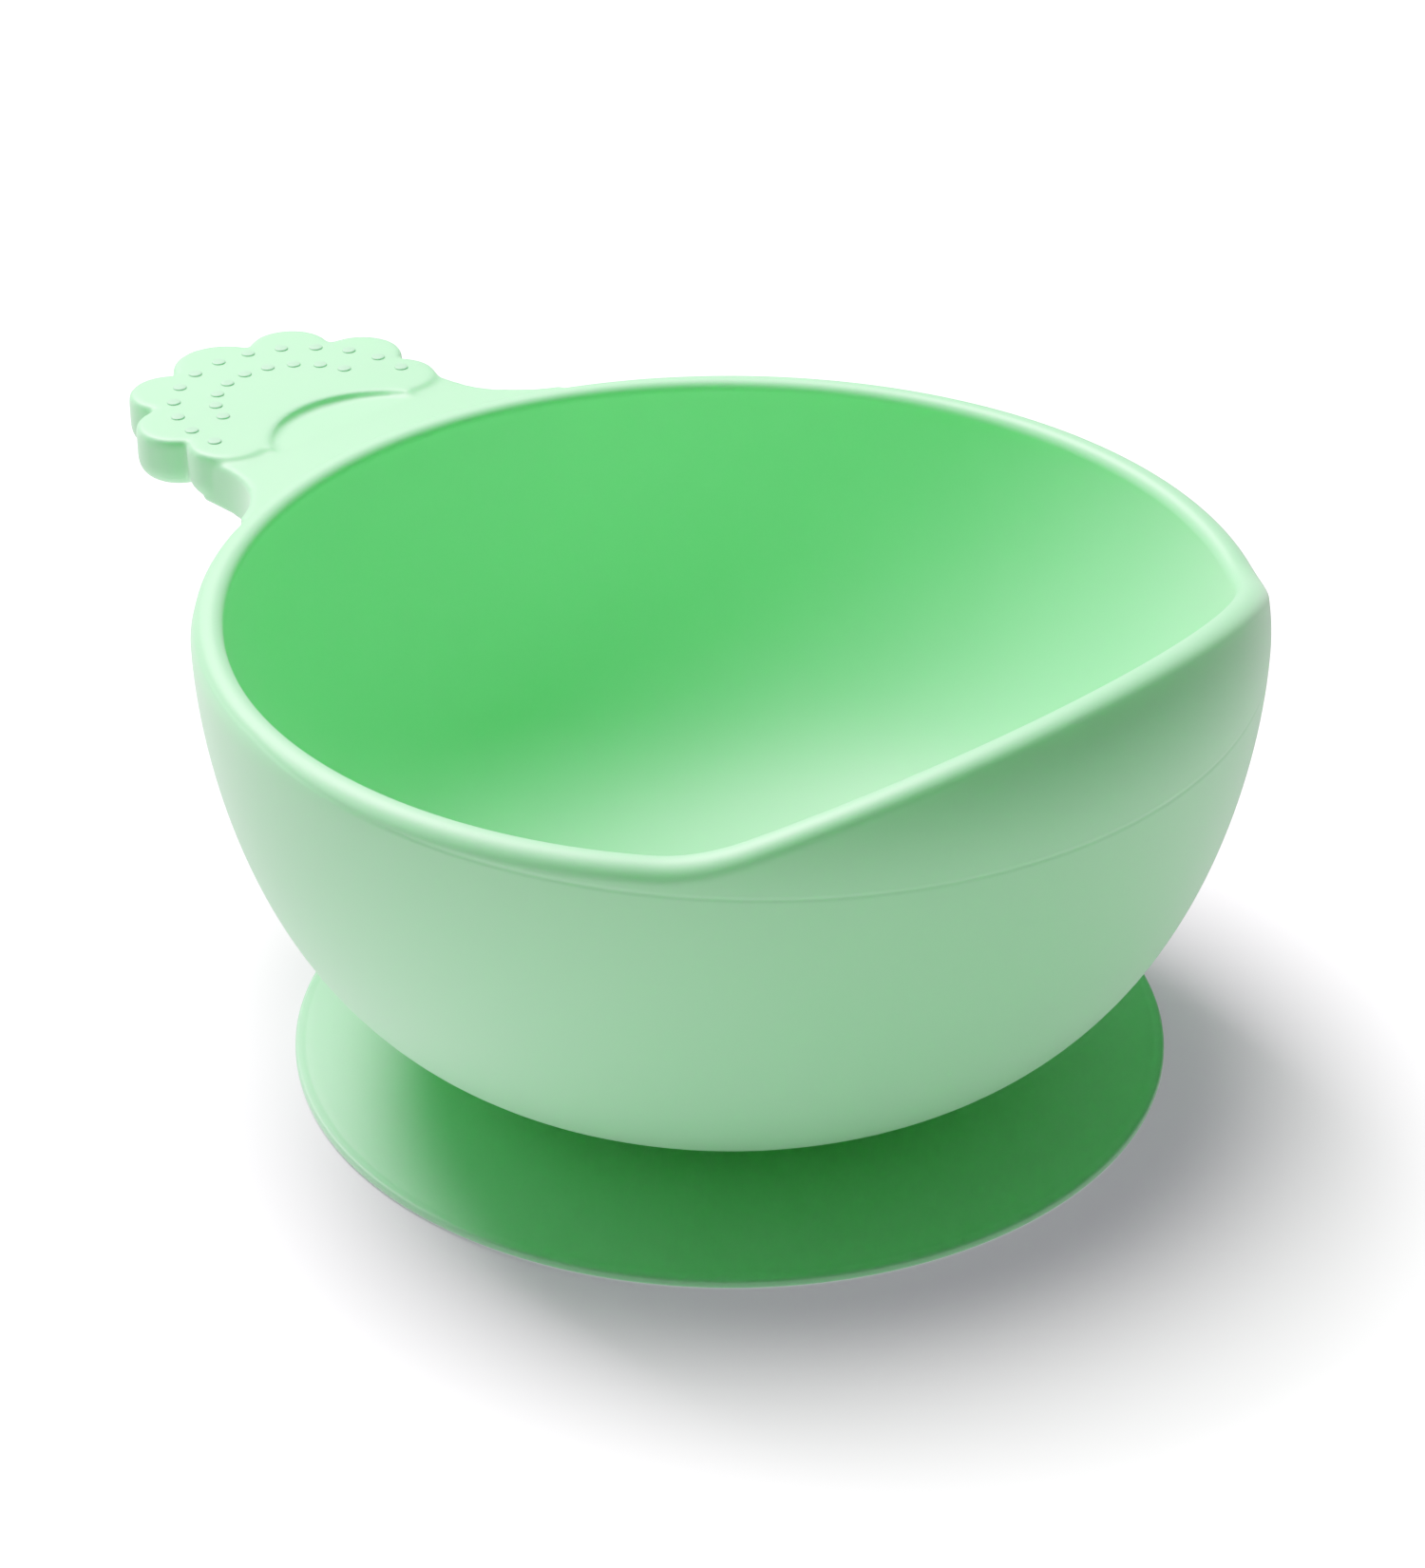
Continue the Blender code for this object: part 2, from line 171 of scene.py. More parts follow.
SMOOTH_ANGLE = 50                   # edges sharper than this stay sharp, in degrees
SAME_POINT = 0.000002               # points nearer than this are merged
SAME_LEVEL = 0.00001                # points this near to a level lie on it
NEAR_TOP = 0.0001                   # the same, for the top of a neck part


# ---------------------------------------------------------------- modelling helpers

def begin(name, add, **settings):
    """Add a primitive with nothing else selected, and name it."""
    bpy.ops.object.select_all(action='DESELECT')
    add(**settings)
    item = bpy.context.object
    item.name = name
    item.data.name = name
    bpy.ops.object.transform_apply(location=True, rotation=True, scale=True)
    return item


def pick(item, kind, wanted):
    """Enter edit mode with only those edges or faces selected whose points all satisfy wanted."""
    bpy.ops.object.mode_set(mode='EDIT')
    bpy.ops.mesh.select_all(action='DESELECT')
    bpy.ops.mesh.select_mode(type=kind)
    bpy.ops.object.mode_set(mode='OBJECT')
    mesh = item.data
    inside = [wanted(v.co) for v in mesh.vertices]
    for part in (mesh.edges if kind == 'EDGE' else mesh.polygons):
        part.select = all(inside[v] for v in part.vertices)
    bpy.ops.object.mode_set(mode='EDIT')


def apply_modifier(item, name, kind, **settings):
    """Put a modifier on an object and apply it at once."""
    bpy.ops.object.select_all(action='DESELECT')
    bpy.context.view_layer.objects.active = item
    item.select_set(True)
    modifier = item.modifiers.new(name, kind)
    for setting, value in settings.items():
        setattr(modifier, setting, value)
    bpy.ops.object.modifier_apply(modifier=name)


def join(items, name):
    """Join objects into the first one."""
    bpy.ops.object.select_all(action='DESELECT')
    for item in items:
        item.select_set(True)
    bpy.context.view_layer.objects.active = items[0]
    bpy.ops.object.join()
    items[0].name = name
    items[0].data.name = name
    return items[0]


def cut_away(item, cutter):
    """Take the shape of a cutter out of an object, and remove the cutter."""
    apply_modifier(item, "Cut", 'BOOLEAN', operation='DIFFERENCE', solver='EXACT', object=cutter)
    bpy.data.objects.remove(cutter)


def spun(name, section, stations):
    """Draw half a section point by point, spin it around the bowl's axis and close its poles."""
    first = section[0]
    item = begin(name, bpy.ops.mesh.primitive_plane_add, size=0.001)
    bpy.ops.object.mode_set(mode='EDIT')
    bpy.ops.mesh.select_mode(type='VERT')
    bpy.ops.mesh.select_all(action='SELECT')
    bpy.ops.mesh.merge(type='CENTER')
    bpy.ops.transform.translate(value=(AXIS_X + first[0], 0, first[1]))
    for last, point in zip(section, section[1:]):
        step = (point[0] - last[0], 0, point[1] - last[1])
        bpy.ops.mesh.extrude_vertices_move(TRANSFORM_OT_translate={"value": step})
    bpy.ops.object.mode_set(mode='OBJECT')
    rows = item.data.attributes.new("row", 'INT', 'POINT')
    rows.data.foreach_set("value", list(range(len(section))))
    bpy.ops.object.mode_set(mode='EDIT')
    bpy.ops.mesh.select_all(action='SELECT')
    bpy.ops.mesh.spin(steps=stations, angle=math.tau, center=(AXIS_X, 0, 0), axis=(0, 0, 1))
    bpy.ops.mesh.select_all(action='SELECT')
    bpy.ops.mesh.remove_doubles(threshold=SAME_POINT)
    bpy.ops.mesh.normals_make_consistent(inside=False)
    bpy.ops.object.mode_set(mode='OBJECT')
    return item


def finish_piece(item, material, body, slot, *nodes):
    """Shade a piece smooth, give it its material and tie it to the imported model."""
    bpy.ops.object.select_all(action='DESELECT')
    bpy.context.view_layer.objects.active = item
    item.select_set(True)
    bpy.ops.object.shade_smooth_by_angle(angle=math.radians(SMOOTH_ANGLE))
    item.data.materials.clear()
    item.data.materials.append(material)
    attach(item, body)
    if nodes:
        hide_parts(*nodes)
    return item


def steps(low, high, count):
    """Evenly spaced values from low to high, both included."""
    return [low + (high - low) * k / count for k in range(count + 1)]


def fillet(corner, towards, onwards, radius, count=5):
    """Points that round off a corner of a section between its two neighbours."""
    corner, towards, onwards = Vector(corner), Vector(towards), Vector(onwards)
    start = corner + (towards - corner).normalized() * radius
    end = corner + (onwards - corner).normalized() * radius
    points = []
    for t in steps(0, 1, count):
        point = start * (1 - t) ** 2 + corner * 2 * t * (1 - t) + end * t ** 2
        points.append((point.x, point.y))
    return points


# ---------------------------------------------------------------- shape of the bowl's wall

def outside_radius(z):
    """Outside radius of the bowl at a height."""
    if z >= WIDEST_Z:
        rise = min((z - WIDEST_Z) / LIP_CURL, 1.0)
        return BOWL_RADIUS - LIP_CURL * (1 - math.sqrt(1 - rise * rise))
    depth = (WIDEST_Z - z) / (WIDEST_Z - UNDERSIDE_Z + BELLY_DROP)
    return BOWL_RADIUS * (1 - depth ** BELLY_POWER) ** (1 / BELLY_ROOT)


def inside_point(turn):
    """Radius and height of a point of the inside, from the widest level at turn 0 to the floor."""
    radius = (BOWL_RADIUS - WALL) * max(math.cos(turn), 0.0) ** (2 / INSIDE_ROOT)
    depth = math.sin(turn) ** (2 / INSIDE_POWER)
    return radius, WIDEST_Z - (WIDEST_Z - FLOOR_Z) * depth


def lean(z):
    """Angle by which the upper wall leans inwards at a height."""
    return math.asin(min(max((z - WIDEST_Z) / LIP_CURL, 0.0), STEEPEST))


def wall_point(z, depth):
    """Radius and height of a point of the upper wall, at a depth below its outside."""
    return outside_radius(z) - depth * math.cos(lean(z)), z - depth * math.sin(lean(z))


def soft_ramp(x, start, blend):
    """Zero before start and x - start after it, with a soft bend between the two."""
    if x <= start - blend:
        return 0.0
    if x >= start + blend:
        return x - start
    return (x - start + blend) ** 2 / (4 * blend)


def rim_top(x):
    """Height of the rim's top at a distance x from the bowl's axis towards the lip."""
    reach = wall_point(LIP_HEIGHT - WALL / 2, WALL / 2)[0] - LIP_START
    return RIM_HEIGHT + (LIP_HEIGHT - RIM_HEIGHT) * soft_ramp(x, LIP_START, LIP_BLEND) / reach


def rim_shoulder(angle):
    """Height on the outside at which the rim's rounding starts, in a direction from the axis."""
    z = RIM_HEIGHT - WALL / 2
    for _ in range(SETTLE_ROUNDS):
        top = rim_top(wall_point(z, WALL / 2)[0] * math.cos(angle))
        z = top - WALL / 2 * (1 - math.sin(lean(z)))
    return z


def parting_height(angle):
    """Height of the mould parting line in a direction from the axis."""
    return min(PARTING_Z - PARTING_FALL * BOWL_RADIUS * math.cos(angle), PARTING_TOP)


def groove_share(angle):
    """Depth of the parting groove, which dies out where the handle grows out of the wall."""
    from_handle = math.degrees(abs(math.pi - abs(math.remainder(angle, math.tau))))
    return min(max((from_handle - PARTING_STOP) / PARTING_FADE, 0.0), 1.0)


def resampled(path, places):
    """Points of a path at distances along it."""
    path = np.array(path)
    lengths = np.hypot(*np.diff(path, axis=0).T)
    along = np.concatenate([[0], np.cumsum(lengths)])
    places = np.array(places)
    return np.column_stack([np.interp(places, along, path[:, k]) for k in (0, 1)]), along


def outer_path(angle):
    """Fine path up the outside of the wall and over the rim's rounding, in one direction."""
    shoulder = rim_shoulder(angle)
    foot = UNDERSIDE_Z + SOFT_EDGE
    belly = [foot + (WIDEST_Z - foot) * t ** BELLY_CROWDING
             for t in steps(0, 1, BELLY_POINTS)]
    path = [(outside_radius(z), z) for z in belly[:-1]]
    half, drop = WALL / 2, RIM_OUTER_FALL - WALL / 2
    path += [wall_point(z, 0) for z in steps(WIDEST_Z, shoulder - drop, UPPER_POINTS)[:-1]]
    centre = Vector(wall_point(shoulder, half))
    tilt = lean(shoulder)
    outwards = Vector((math.cos(tilt), math.sin(tilt)))
    upwards = Vector((-math.sin(tilt), math.cos(tilt)))
    crest = RIM_INNER_ROUND - half
    profile = [(crest + (half - crest) * math.cos(turn), (half + drop) * math.sin(turn) - drop)
               for turn in steps(0, math.pi / 2, OUTER_EDGE_POINTS)]
    profile += [(crest + RIM_INNER_ROUND * math.cos(turn),
                 half - RIM_INNER_ROUND * (1 - math.sin(turn)))
                for turn in steps(math.pi / 2, math.pi, INNER_EDGE_POINTS)[1:]]
    profile += [(-half, level)
                for level in steps(half - RIM_INNER_ROUND, 0, SHOULDER_POINTS)[1:]]
    path += [tuple(centre + outwards * out + upwards * up) for out, up in profile]
    return path, shoulder


def bowl_section(angle):
    """Half section of the moulding, from the underside's middle round the rim to the floor's."""
    socket = STEM_RADIUS + SOCKET_GAP
    flat = outside_radius(UNDERSIDE_Z)
    points = [(0, UNDERSIDE_Z + SOCKET_DEPTH), (socket, UNDERSIDE_Z + SOCKET_DEPTH)]
    points += fillet((socket, UNDERSIDE_Z), points[-1], (flat, UNDERSIDE_Z), SOFT_EDGE, 3)
    points += [(flat * share, UNDERSIDE_Z) for share in SOLE_POINTS]
    path, shoulder = outer_path(angle)
    heights = [z for _, z in path]
    rising = heights.index(max(heights)) + 1
    on_path = np.interp(parting_height(angle), heights[:rising], range(rising))
    _, along = resampled(path, [0])
    line = np.interp(on_path, range(len(path)), along)
    places = [line * t for t in steps(0, 1, BELOW_GROOVE)[:-1]]
    places = [place * (line - GROOVE_CLEAR * PARTING_HALF) / places[-1] for place in places]
    groove = [line - PARTING_HALF, line, line + PARTING_HALF]
    above = steps(line + GROOVE_CLEAR * PARTING_HALF, along[-1], ABOVE_GROOVE)
    outer, _ = resampled(path, places + groove + above)
    outer[len(places) + 1, 0] -= PARTING_DEPTH * groove_share(angle)
    points += [tuple(p) for p in outer]
    end = points[-1]
    for level in steps(shoulder, WIDEST_Z, INNER_WALL_POINTS)[1:]:
        share = (shoulder - level) / (shoulder - WIDEST_Z)
        radius = wall_point(level, WALL)[0]
        points.append((radius, end[1] + (WIDEST_Z - end[1]) * share))
    inner = [inside_point(math.pi / 2 * (1 - (1 - t) ** INSIDE_CROWDING))
             for t in steps(0, 1, INSIDE_POINTS)]
    return points + inner[1:-1] + [(0, FLOOR_Z)]


def bowl():
    """The bowl and its rim: a spun shell whose wall is then raised along the scoop lip."""
    item = spun("bowl_moulding", bowl_section(math.pi), BOWL_STATIONS)
    sections = np.array([bowl_section(math.tau * k / BOWL_STATIONS)
                         for k in range(BOWL_STATIONS // 2 + 1)])
    mesh = item.data
    places = np.zeros(len(mesh.vertices) * 3)
    mesh.vertices.foreach_get("co", places)
    places = places.reshape(-1, 3)
    rows = np.zeros(len(mesh.vertices), int)
    mesh.attributes["row"].data.foreach_get("value", rows)
    angles = np.arctan2(places[:, 1], places[:, 0] - AXIS_X)
    stations = np.rint(angles / math.tau * BOWL_STATIONS).astype(int)
    radii, heights = sections[np.abs(stations), rows].T
    turns = stations * math.tau / BOWL_STATIONS
    placed = np.column_stack([AXIS_X + radii * np.cos(turns), radii * np.sin(turns), heights])
    mesh.vertices.foreach_set("co", placed.ravel())
    mesh.attributes.remove(mesh.attributes["row"])
    return item


# ---------------------------------------------------------------- handle

def round_edges(item, z, radius):
    """Round the edges of a flat side at a height."""
    if radius > 0:
        pick(item, 'EDGE', lambda p: abs(p.z - z) < SAME_LEVEL)
        bpy.ops.mesh.bevel(offset=radius, segments=5, affect='EDGES', clamp_overlap=True)
        bpy.ops.object.mode_set(mode='OBJECT')


def disc(name, u, v, radius, low, high, lower=0.0, upper=0.0):
    """An upright cylinder with rounded ends; u is its distance from the bowl's axis."""
    item = begin(name, bpy.ops.mesh.primitive_cylinder_add, vertices=128, radius=radius,
                 depth=high - low, location=(AXIS_X - u, v, (low + high) / 2))
    round_edges(item, low, lower)
    round_edges(item, high, upper)
    return item


def block(name, near, far, half, low, high):
    """A box across the handle's middle line, from near to far away from the bowl's axis."""
    return begin(name, bpy.ops.mesh.primitive_cube_add, size=1,
                 location=(AXIS_X - (near + far) / 2, 0, (low + high) / 2),
                 scale=(far - near, 2 * half, high - low))


def scallops():
    """The lobes around the grip and the disc that fills its middle."""
    rounding = (HANDLE_BOTTOM, BADGE_TOP, LOWER_ROUND, UPPER_ROUND)
    middle_reach = HANDLE_TIP - GRIP_CENTRE - MIDDLE_SCALLOP
    lobes = [disc("grip_core", GRIP_CENTRE, 0, GRIP_CORE, *rounding)]
    lobes.append(disc("scallop", GRIP_CENTRE + middle_reach, 0, MIDDLE_SCALLOP, *rounding))
    for side in (-1, 1):
        for direction, reach, radius in SCALLOPS:
            turn = side * math.radians(direction)
            lobes.append(disc("scallop", GRIP_CENTRE + reach * math.cos(turn),
                              reach * math.sin(turn), radius, *rounding))
    return lobes


def flare_place():
    """Middle of the arc that runs from the last scallop into the wall, touching both."""
    turn, reach, radius = math.radians(END_SCALLOP[0]), END_SCALLOP[1], END_SCALLOP[2]
    lobe_u = GRIP_CENTRE + reach * math.cos(turn)
    lobe_v = reach * math.sin(turn)
    to_axis, to_lobe = BOWL_RADIUS + FLARE_RADIUS, radius + FLARE_RADIUS
    between = math.hypot(lobe_u, lobe_v)
    opening = math.acos((to_axis ** 2 + between ** 2 - to_lobe ** 2) / (2 * to_axis * between))
    direction = math.atan2(lobe_v, lobe_u) + opening
    return to_axis * math.cos(direction), to_axis * math.sin(direction), lobe_u


def handle():
    """The handle: a grip with a raised scalloped badge, and a neck that flares into the wall."""
    grip = join(scallops(), "grip")
    apply_modifier(grip, "Skin", 'REMESH', mode='VOXEL', voxel_size=SKIN_SIZE)
    cut_away(grip, disc("arch", ARCH_CENTRE, 0, ARCH_RADIUS, NECK_TOP, BADGE_TOP + OVERLAP))

    flare_u, flare_v, lobe_u = flare_place()
    touch_v = BOWL_RADIUS * flare_v / (BOWL_RADIUS + FLARE_RADIUS)
    root = BOWL_RADIUS - WALL / 2
    neck = block("neck", root - NECK_ROOT, flare_u + NECK_EXTRA, touch_v, HANDLE_BOTTOM,
                 RIM_HEIGHT)
    throat = block("throat", flare_u - OVERLAP, lobe_u, THROAT_HALF, HANDLE_BOTTOM, RIM_HEIGHT)
    bridge = block("bridge", lobe_u - OVERLAP, GRIP_CENTRE, BRIDGE_HALF, HANDLE_BOTTOM, RIM_HEIGHT)
    for part in (neck, throat, bridge):
        slope_top(part)
    neck = join([neck, throat, bridge], "neck")
    apply_modifier(neck, "Skin", 'REMESH', mode='VOXEL', voxel_size=SKIN_SIZE)
    for side in (-1, 1):
        cut_away(neck, disc("flare", flare_u, side * flare_v, FLARE_RADIUS,
                            HANDLE_BOTTOM - OVERLAP, RIM_HEIGHT + OVERLAP))
    cut_away(neck, disc("inside", 0, 0, root, HANDLE_BOTTOM - OVERLAP, RIM_HEIGHT + OVERLAP))
    item = join([grip, neck], "handle_moulding")
    apply_modifier(item, "Skin", 'REMESH', mode='VOXEL', voxel_size=SKIN_SIZE)
    apply_modifier(item, "Soften", 'SMOOTH', factor=0.5, iterations=6)
    return item


def slope_top(item):
    """Lower the top of a neck part from the rim's height down to the grip's."""
    start = BOWL_RADIUS - WALL / 2
    for vertex in item.data.vertices:
        if vertex.co.z > RIM_HEIGHT - NEAR_TOP:
            share = (AXIS_X - vertex.co.x - start) / (SLOPE_END - start)
            vertex.co.z = RIM_HEIGHT - (RIM_HEIGHT - NECK_TOP) * min(max(share, 0.0), 1.0)


def bowl_moulding():
    """The whole moulding: the handle is grown onto the bowl, and the joint between is softened."""
    item = bowl()
    grown = handle()
    apply_modifier(item, "Grow", 'BOOLEAN', operation='UNION', solver='EXACT', object=grown)
    bpy.data.objects.remove(grown)
    blend = item.vertex_groups.new(name="joint")
    for vertex in item.data.vertices:
        out = math.hypot(vertex.co.x - AXIS_X, vertex.co.y)
        near = abs(out - outside_radius(vertex.co.z)) < JOINT_REACH
        on_top = vertex.co.z > RIM_HEIGHT - JOINT_TOP and BOWL_RADIUS - JOINT_INSIDE < out
        side = vertex.co.x < AXIS_X - BOWL_RADIUS * JOINT_SPAN
        if side and vertex.co.z > HANDLE_BOTTOM - OVERLAP and (near or on_top):
            blend.add([vertex.index], 1.0, 'REPLACE')
    apply_modifier(item, "Blend", 'SMOOTH', factor=0.5, iterations=10, vertex_group="joint")
    item.vertex_groups.clear()
    return item


# ---------------------------------------------------------------- pips, cup and stem

def badge_pips():
    """Two arcs of small raised pips on the badge, to give the fingers hold."""
    pips = []
    for count, reach, spread in PIP_ROWS:
        for turn in steps(-math.radians(spread / 2), math.radians(spread / 2), count - 1):
            u = GRIP_CENTRE + reach * math.cos(turn)
            v = reach * math.sin(turn)
            pip = begin("pip", bpy.ops.mesh.primitive_cylinder_add, vertices=24,
                        radius=PIP_RADIUS, depth=2 * PIP_HEIGHT,
                        location=(AXIS_X - u, v, BADGE_TOP))
            round_edges(pip, BADGE_TOP + PIP_HEIGHT, PIP_ROUND)
            pips.append(pip)
    return join(pips, "badge_pips")


def suction_cup():
    """The suction cup: a thin flared disc with a hollow below and a band along its edge."""
    contact = CUP_RADIUS - CUP_CONTACT
    seat = STEM_RADIUS + SOCKET_GAP
    middle = STEM_RADIUS * CHAMBER_FLAT
    points = [(0, CUP_CHAMBER), (middle, CUP_CHAMBER)]
    for t in steps(0, 1, CHAMBER_POINTS)[1:]:
        radius = middle + (contact - middle) * t
        points.append((radius, CUP_CHAMBER * (1 - t ** CHAMBER_SWEEP)))
    low, high = (CUP_RADIUS, 0), (CUP_RADIUS, CUP_EDGE)
    points += fillet(low, points[-1], high, SOFT_EDGE)
    points += fillet(high, low, (CUP_RADIUS - CUP_BAND, CUP_EDGE), SOFT_EDGE)
    band = CUP_RADIUS - CUP_BAND
    points += [(band + BAND_HALF, CUP_EDGE), (band, CUP_EDGE - BAND_GROOVE),
               (band - BAND_HALF, CUP_EDGE)]
    for t in steps(0, 1, CUP_POINTS)[1:-1]:
        radius = band + (seat + CROWN_LAND - band) * t
        points.append((radius, CUP_EDGE + (CUP_CROWN - CUP_EDGE) * t ** CUP_SWEEP))
    points += fillet((seat, CUP_CROWN), points[-1], (seat, CUP_CROWN - SEAT_DEPTH), CROWN_ROUND)
    points += [(seat, CUP_CROWN - SEAT_DEPTH), (0, CUP_CROWN - SEAT_DEPTH)]
    return spun("suction_cup_skin", points, CUP_STATIONS)


def base_stem():
    """The stem between the cup and the bowl, with a soft waist."""
    low, high = stem_low.z, stem_high.z
    lower, upper = CUP_CROWN, UNDERSIDE_Z
    points = [(0, low), (STEM_RADIUS, low)]
    for t in steps(0, 1, STEM_POINTS):
        bow = STEM_WAIST * math.sin(math.pi * t)
        points.append((STEM_RADIUS - bow, lower + (upper - lower) * t))
    points += [(STEM_RADIUS, high), (0, high)]
    return spun("stem_skin", points, CUP_STATIONS)


# ---------------------------------------------------------------- materials

def grain_group():
    """Fine grain that the mould leaves in soft silicone, as a height and a shade mask."""
    group = bpy.data.node_groups.new("Mould grain", 'ShaderNodeTree')
    for name, value in (("Grain Size", 1800.0), ("Cloud Size", 45.0)):
        socket = group.interface.new_socket(name, in_out='INPUT', socket_type='NodeSocketFloat')
        socket.default_value = value
    for name in ("Height", "Cloud"):
        group.interface.new_socket(name, in_out='OUTPUT', socket_type='NodeSocketFloat')
    nodes, links = group.nodes, group.links
    inputs, outputs = nodes.new('NodeGroupInput'), nodes.new('NodeGroupOutput')
    place = nodes.new('ShaderNodeTexCoord')
    fine = nodes.new('ShaderNodeTexNoise')
    fine.inputs["Detail"].default_value = 3
    links.new(place.outputs["Object"], fine.inputs["Vector"])
    links.new(inputs.outputs["Grain Size"], fine.inputs["Scale"])
    cloud = nodes.new('ShaderNodeTexNoise')
    cloud.inputs["Detail"].default_value = 2
    links.new(place.outputs["Object"], cloud.inputs["Vector"])
    links.new(inputs.outputs["Cloud Size"], cloud.inputs["Scale"])
    links.new(fine.outputs["Fac"], outputs.inputs["Height"])
    links.new(cloud.outputs["Fac"], outputs.inputs["Cloud"])
    return group


def silicone(name, deep, light, roughness):
    """Matte translucent silicone whose colour drifts a little between two shades."""
    material = bpy.data.materials.new(name)
    material.use_nodes = True
    nodes, links = material.node_tree.nodes, material.node_tree.links
    shader = nodes["Principled BSDF"]
    grain = nodes.new('ShaderNodeGroup')
    grain.node_tree = GRAIN
    shade = nodes.new('ShaderNodeMix')
    shade.data_type = 'RGBA'
    shade.inputs[6].default_value = (*deep, 1)
    shade.inputs[7].default_value = (*light, 1)
    links.new(grain.outputs["Cloud"], shade.inputs[0])
    links.new(shade.outputs[2], shader.inputs["Base Color"])
    gloss = nodes.new('ShaderNodeMapRange')
    gloss.inputs["To Min"].default_value = roughness - 0.05
    gloss.inputs["To Max"].default_value = roughness + 0.05
    links.new(grain.outputs["Cloud"], gloss.inputs["Value"])
    links.new(gloss.outputs["Result"], shader.inputs["Roughness"])
    bump = nodes.new('ShaderNodeBump')
    bump.inputs["Strength"].default_value = 0.08
    bump.inputs["Distance"].default_value = 0.0001
    links.new(grain.outputs["Height"], bump.inputs["Height"])
    links.new(bump.outputs["Normal"], shader.inputs["Normal"])
    shader.inputs["IOR"].default_value = 1.41
    shader.inputs["Subsurface Weight"].default_value = 0.35
    shader.inputs["Subsurface Radius"].default_value = (0.35, 1.0, 0.45)
    shader.inputs["Subsurface Scale"].default_value = 0.004
    shader.inputs["Specular IOR Level"].default_value = 0.85
    shader.inputs["Sheen Weight"].default_value = 0.2
    shader.inputs["Sheen Roughness"].default_value = 0.5
    return material


def table_top():
    """The white table that the bowl stands on. It glows: camera rays see a painted soft shadow around
    the bowl, darker near it and fading out to white, and all other rays see an even glow that stands
    in for the light the table throws back onto the bowl.
    """
    item = begin("table_top", bpy.ops.mesh.primitive_plane_add, size=6, location=(AXIS_X, 0, -0.0001))
    material = bpy.data.materials.new("White table")
    material.use_nodes = True
    nodes, links = material.node_tree.nodes, material.node_tree.links
    shader = nodes["Principled BSDF"]
    shader.inputs["Base Color"].default_value = (0.70, 0.64, 0.70, 1)
    shader.inputs["Roughness"].default_value = 0.8
    shader.inputs["Emission Strength"].default_value = 1
    place = nodes.new('ShaderNodeTexCoord')
    away = nodes.new('ShaderNodeVectorMath')
    away.operation = 'DISTANCE'
    away.inputs[1].default_value = (AXIS_X + SHADOW_SHIFT, 0, 0)
    links.new(place.outputs["Object"], away.inputs[0])
    # painted shadow: the glow that the camera sees is dimmest near the bowl and fades up to OPEN_GLOW
    # further out
    fade = nodes.new('ShaderNodeMapRange')
    fade.interpolation_type = 'SMOOTHSTEP'
    fade.inputs["From Min"].default_value = SHADOW_FROM
    fade.inputs["From Max"].default_value = SHADOW_TO
    links.new(away.outputs["Value"], fade.inputs["Value"])
    seen = nodes.new('ShaderNodeMix')
    seen.data_type = 'RGBA'
    seen.inputs[6].default_value = SHADOW_GLOW
    seen.inputs[7].default_value = OPEN_GLOW
    links.new(fade.outputs["Result"], seen.inputs[0])
    # camera rays see the painted shadow in the glow; all other rays see the even TABLE_GLOW, painted
    # light that lights the bowl from below
    rays = nodes.new('ShaderNodeLightPath')
    glow = nodes.new('ShaderNodeMix')
    glow.data_type = 'RGBA'
    glow.inputs[6].default_value = (TABLE_GLOW, TABLE_GLOW, TABLE_GLOW, 1)
    links.new(rays.outputs["Is Camera Ray"], glow.inputs[0])
    links.new(seen.outputs[2], glow.inputs[7])
    links.new(glow.outputs[2], shader.inputs["Emission Color"])
    item.data.materials.append(material)


# ---------------------------------------------------------------- camera and light

VIEW_TURN = math.radians(44.6)      # the camera looks at the bowl from this side of the lip
VIEW_TILT = math.radians(29.94)     # and looks down by this angle
VIEW_BACK = 0.4476                  # level distance from the bowl's axis
VIEW_SIDE = -0.00209                # sideways offset from the axis
VIEW_HEIGHT = 0.2925
LENS = 100.25

KEY_TURN = 172                      # direction of the key light, from +X towards +Y, degrees
KEY_LIFT = 53                       # its height above the horizon, degrees
KEY_SIZE = 0.54                     # side of the key's softbox
KEY_POWER = 44.5                    # watts
KEY_AWAY = 1.0                      # its distance from the bowl
ROOM_LIGHT = 0.06                   # light that reaches the bowl from all around
# Painted light and shade on the table: TABLE_GLOW is an even glow that lights the bowl from below,
# and the SHADOW values paint a soft shadow into the glow that the camera sees.
TABLE_GLOW = 0.69                   # light that the table throws back onto the bowl
SHADOW_SHIFT = 0.006                # the soft shadow on the table lies this far towards the lip
SHADOW_FROM = 0.050                 # it fades from this radius
SHADOW_TO = 0.096                   # to this one
SHADOW_GLOW = (0.30, 0.22, 0.32, 1)  # glow of the table where the shadow is deepest
OPEN_GLOW = (3.4, 3.4, 3.4, 1)      # and where it has faded out
WHITE_POINT = 3.4                   # scene brightness that the film shows as pure white
FILM_POINTS = (0.01, 0.03, 0.06, 0.1, 0.16, 0.24, 0.35, 0.5, 0.7)  # shares of it on the curve


def camera():
    """The camera, in front of the bowl and to one side of the scoop lip."""
    data = bpy.data.cameras.new("camera")
    data.lens = LENS
    data.sensor_width = 36
    data.clip_start = 0.01
    item = bpy.data.objects.new("camera", data)
    bpy.context.scene.collection.objects.link(item)
    across = Vector((math.cos(VIEW_TURN), math.sin(VIEW_TURN), 0))
    back = Vector((math.sin(VIEW_TURN), -math.cos(VIEW_TURN), 0))
    item.location = Vector((AXIS_X, 0, VIEW_HEIGHT)) + across * VIEW_SIDE + back * VIEW_BACK
    item.rotation_euler = (math.pi / 2 - VIEW_TILT, 0, VIEW_TURN)
    bpy.context.scene.camera = item


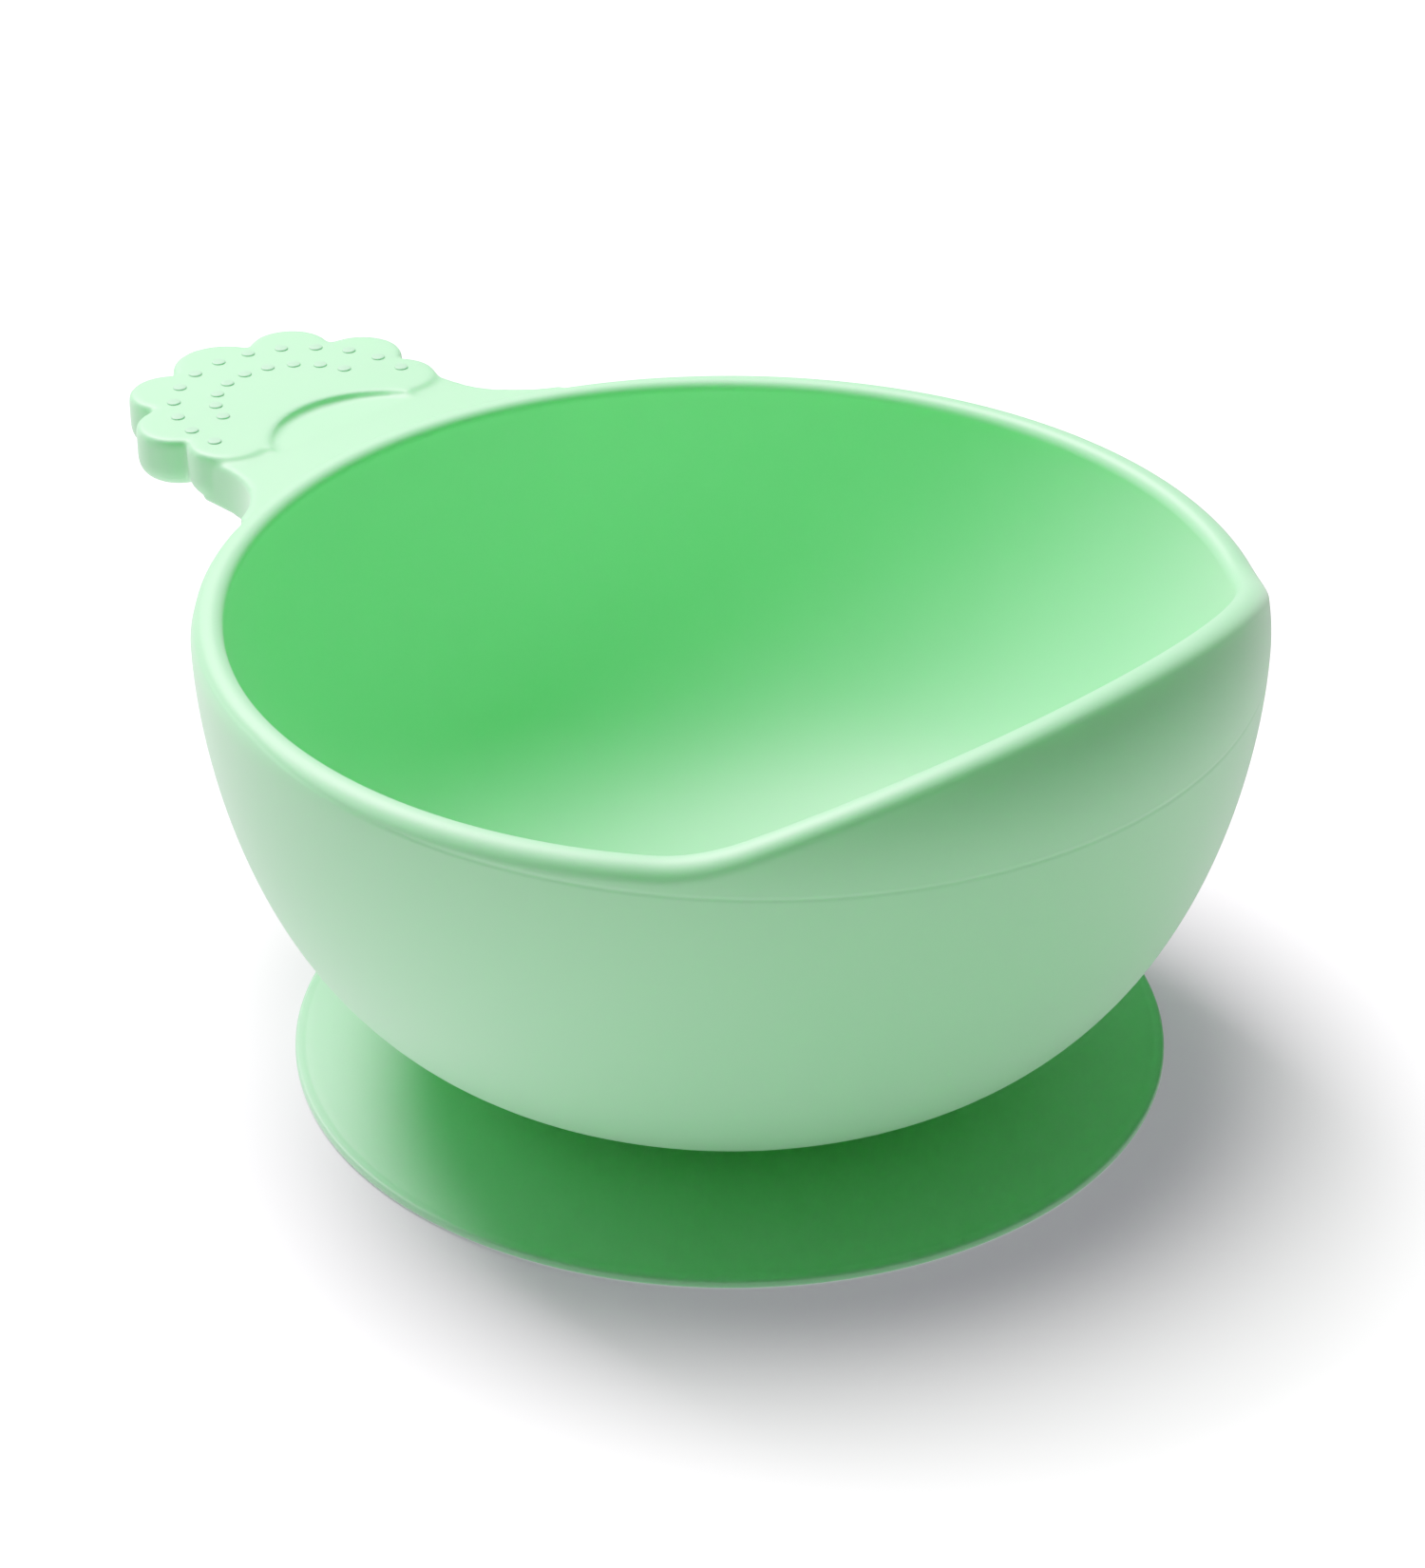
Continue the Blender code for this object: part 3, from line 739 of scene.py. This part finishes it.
def softbox(name, azimuth, elevation, distance, size, power):
    """A square lamp that points at the bowl; azimuth turns from +X towards +Y, in degrees."""
    data = bpy.data.lights.new(name, 'AREA')
    data.size = size
    data.energy = power
    item = bpy.data.objects.new(name, data)
    bpy.context.scene.collection.objects.link(item)
    turn, lift = math.radians(azimuth), math.radians(elevation)
    aim = Vector((AXIS_X, 0, RIM_HEIGHT / 2))
    away = Vector((math.cos(turn) * math.cos(lift), math.sin(turn) * math.cos(lift), math.sin(lift)))
    item.location = aim + away * distance
    item.rotation_euler = away.to_track_quat('Z', 'Y').to_euler()
    return item


def film_curve(value):
    """Brightness shown for a brightness in the scene; WHITE_POINT and above are pure white."""
    return value * (1 + value / WHITE_POINT ** 2) / (1 + value)


def lighting():
    """One large soft key from behind the handle, a dim white room and a soft film response."""
    softbox("key", KEY_TURN, KEY_LIFT, KEY_AWAY, KEY_SIZE, KEY_POWER)
    world = bpy.data.worlds.new("White room")
    bpy.context.scene.world = world
    world.use_nodes = True
    nodes, links = world.node_tree.nodes, world.node_tree.links
    room = nodes["Background"]
    room.inputs["Color"].default_value = (1, 1, 1, 1)
    room.inputs["Strength"].default_value = ROOM_LIGHT
    backdrop = nodes.new('ShaderNodeBackground')
    backdrop.inputs["Color"].default_value = (1, 1, 1, 1)
    backdrop.inputs["Strength"].default_value = WHITE_POINT
    rays = nodes.new('ShaderNodeLightPath')
    choice = nodes.new('ShaderNodeMixShader')
    links.new(rays.outputs["Is Camera Ray"], choice.inputs[0])
    links.new(room.outputs[0], choice.inputs[1])
    links.new(backdrop.outputs[0], choice.inputs[2])
    links.new(choice.outputs[0], nodes["World Output"].inputs["Surface"])
    settings = bpy.context.scene.view_settings
    settings.view_transform = 'Standard'
    settings.use_curve_mapping = True
    mapping = settings.curve_mapping
    mapping.white_level = (WHITE_POINT, WHITE_POINT, WHITE_POINT)
    curve = mapping.curves[3]
    for share in FILM_POINTS:
        curve.points.new(share, film_curve(share * WHITE_POINT))
    mapping.update()


# ---------------------------------------------------------------- the whole scene

camera()
lighting()
table_top()
GRAIN = grain_group()
BOWL_SILICONE = silicone("Mint silicone", (0.29, 0.84, 0.365), (0.32, 0.86, 0.395), 0.52)
# The cup's silicone is a duller, less green copy of the mint silicone: partly the cup's own duller
# green, partly painted shade for the bowl's shadow over the cup.
CUP_SILICONE = silicone("Cup silicone", (0.285, 0.68, 0.35), (0.31, 0.71, 0.38), 0.50)

finish_piece(bowl_moulding(), BOWL_SILICONE, "bowl", "silicone",
             "bowl_body", "scoop_rim", "handle", "handle_badge")
finish_piece(badge_pips(), BOWL_SILICONE, "bowl", "silicone")
cup = finish_piece(suction_cup(), CUP_SILICONE, "suction_base", "cup_silicone", "suction_cup")
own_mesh(cup)
finish_piece(base_stem(), CUP_SILICONE, "bowl", "cup_silicone", "base_stem")
